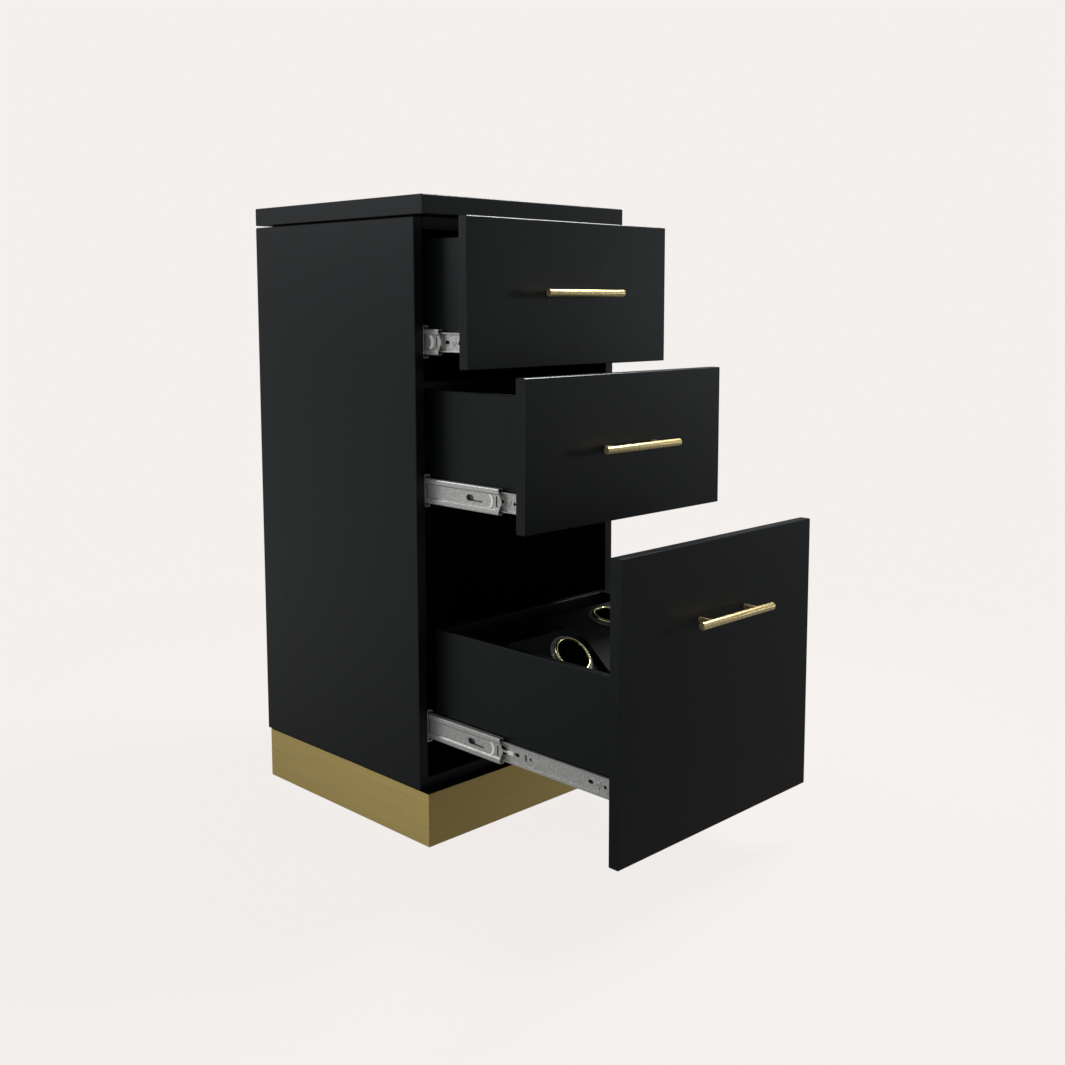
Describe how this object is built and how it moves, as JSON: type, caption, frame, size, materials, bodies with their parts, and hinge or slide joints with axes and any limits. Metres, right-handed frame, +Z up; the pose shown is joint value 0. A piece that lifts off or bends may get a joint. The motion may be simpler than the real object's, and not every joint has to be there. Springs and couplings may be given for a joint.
{
  "type": "salon drawer cabinet",
  "caption": "Slim black salon cabinet on a gold plinth: drawers on ball-bearing slides with gold bar handles; the deep bottom drawer has sloping trays with cups for styling tools.",
  "frame": {"origin": "on the floor, at the middle of the bounding box with the drawers standing open as at rest", "axes": "+Z up, -Y the way the drawers open, +X to the right of someone who faces the drawer fronts"},
  "size_m": [0.4, 0.7804, 0.9],
  "materials": {
    "black_board": "satin black laminate on particle board",
    "brushed_gold": "brushed gold-coloured metal",
    "zinc_steel": "zinc-plated steel",
    "cage_steel": "plain steel ball cage with steel balls",
    "black_powder_coat": "satin black powder coat"
  },
  "bodies": {
    "carcass": {"worktop": "black_board", "side_panel_left": "black_board", "side_panel_right": "black_board", "top_panel": "black_board", "bottom_panel": "black_board", "back_panel": "black_board", "plinth_frame": "black_board", "plinth_cladding": "brushed_gold", "top_cabinet_member_left": "zinc_steel", "top_cabinet_member_right": "zinc_steel", "middle_cabinet_member_left": "zinc_steel", "middle_cabinet_member_right": "zinc_steel", "bottom_cabinet_member_left": "zinc_steel", "bottom_cabinet_member_right": "zinc_steel"},
    "top_carriage": {"top_carriage_left": "zinc_steel", "top_carriage_right": "zinc_steel"},
    "top_outer_cages": {"top_outer_ball_cage_left": "cage_steel", "top_outer_ball_cage_right": "cage_steel"},
    "top_inner_cages": {"top_inner_ball_cage_left": "cage_steel", "top_inner_ball_cage_right": "cage_steel"},
    "top_drawer": {"top_drawer_front": "black_board", "top_drawer_side_left": "black_board", "top_drawer_side_right": "black_board", "top_drawer_back": "black_board", "top_drawer_bottom": "black_board", "top_handle": "brushed_gold", "top_drawer_member_left": "zinc_steel", "top_drawer_member_right": "zinc_steel"},
    "middle_carriage": {"middle_carriage_left": "zinc_steel", "middle_carriage_right": "zinc_steel"},
    "middle_outer_cages": {"middle_outer_ball_cage_left": "cage_steel", "middle_outer_ball_cage_right": "cage_steel"},
    "middle_inner_cages": {"middle_inner_ball_cage_left": "cage_steel", "middle_inner_ball_cage_right": "cage_steel"},
    "middle_drawer": {"middle_drawer_front": "black_board", "middle_drawer_side_left": "black_board", "middle_drawer_side_right": "black_board", "middle_drawer_back": "black_board", "middle_drawer_bottom": "black_board", "middle_handle": "brushed_gold", "middle_drawer_member_left": "zinc_steel", "middle_drawer_member_right": "zinc_steel"},
    "bottom_carriage": {"bottom_carriage_left": "zinc_steel", "bottom_carriage_right": "zinc_steel"},
    "bottom_outer_cages": {"bottom_outer_ball_cage_left": "cage_steel", "bottom_outer_ball_cage_right": "cage_steel"},
    "bottom_inner_cages": {"bottom_inner_ball_cage_left": "cage_steel", "bottom_inner_ball_cage_right": "cage_steel"},
    "bottom_drawer": {"bottom_drawer_front": "black_board", "bottom_drawer_side_left": "black_board", "bottom_drawer_side_right": "black_board", "bottom_drawer_back": "black_board", "bottom_drawer_bottom": "black_board", "bottom_handle": "brushed_gold", "bottom_drawer_member_left": "zinc_steel", "bottom_drawer_member_right": "zinc_steel", "left_tool_tray": "black_powder_coat", "right_tool_tray": "black_powder_coat", "left_tool_cup": "brushed_gold", "right_tool_cup": "brushed_gold"}
  },
  "joints": [
    {"name": "top_carriage_slide", "type": "slide", "parent": "carcass", "child": "top_carriage", "axis": [0, -1, 0], "range_m": [-0.029, 0.117]},
    {"name": "top_drawer_slide", "type": "slide", "parent": "top_carriage", "child": "top_drawer", "axis": [0, -1, 0], "range_m": [-0.057, 0.147]},
    {"name": "top_outer_cage_roll", "type": "slide", "parent": "carcass", "child": "top_outer_cages", "axis": [0, -1, 0], "range_m": [-0.0145, 0.0585]},
    {"name": "top_inner_cage_roll", "type": "slide", "parent": "top_carriage", "child": "top_inner_cages", "axis": [0, -1, 0], "range_m": [-0.0285, 0.0735]},
    {"name": "middle_carriage_slide", "type": "slide", "parent": "carcass", "child": "middle_carriage", "axis": [0, -1, 0], "range_m": [-0.146, 0]},
    {"name": "middle_drawer_slide", "type": "slide", "parent": "middle_carriage", "child": "middle_drawer", "axis": [0, -1, 0], "range_m": [-0.045, 0.159]},
    {"name": "middle_outer_cage_roll", "type": "slide", "parent": "carcass", "child": "middle_outer_cages", "axis": [0, -1, 0], "range_m": [-0.073, 0]},
    {"name": "middle_inner_cage_roll", "type": "slide", "parent": "middle_carriage", "child": "middle_inner_cages", "axis": [0, -1, 0], "range_m": [-0.0225, 0.0795]},
    {"name": "bottom_carriage_slide", "type": "slide", "parent": "carcass", "child": "bottom_carriage", "axis": [0, -1, 0], "range_m": [-0.146, 0]},
    {"name": "bottom_drawer_slide", "type": "slide", "parent": "bottom_carriage", "child": "bottom_drawer", "axis": [0, -1, 0], "range_m": [-0.204, 0]},
    {"name": "bottom_outer_cage_roll", "type": "slide", "parent": "carcass", "child": "bottom_outer_cages", "axis": [0, -1, 0], "range_m": [-0.073, 0]},
    {"name": "bottom_inner_cage_roll", "type": "slide", "parent": "bottom_carriage", "child": "bottom_inner_cages", "axis": [0, -1, 0], "range_m": [-0.102, 0]}
  ],
  "couplings": [
    {"joint": "top_outer_cage_roll", "follows": "top_carriage_slide", "ratio": 0.5},
    {"joint": "top_inner_cage_roll", "follows": "top_drawer_slide", "ratio": 0.5},
    {"joint": "middle_outer_cage_roll", "follows": "middle_carriage_slide", "ratio": 0.5},
    {"joint": "middle_inner_cage_roll", "follows": "middle_drawer_slide", "ratio": 0.5},
    {"joint": "bottom_outer_cage_roll", "follows": "bottom_carriage_slide", "ratio": 0.5},
    {"joint": "bottom_inner_cage_roll", "follows": "bottom_drawer_slide", "ratio": 0.5}
  ]
}
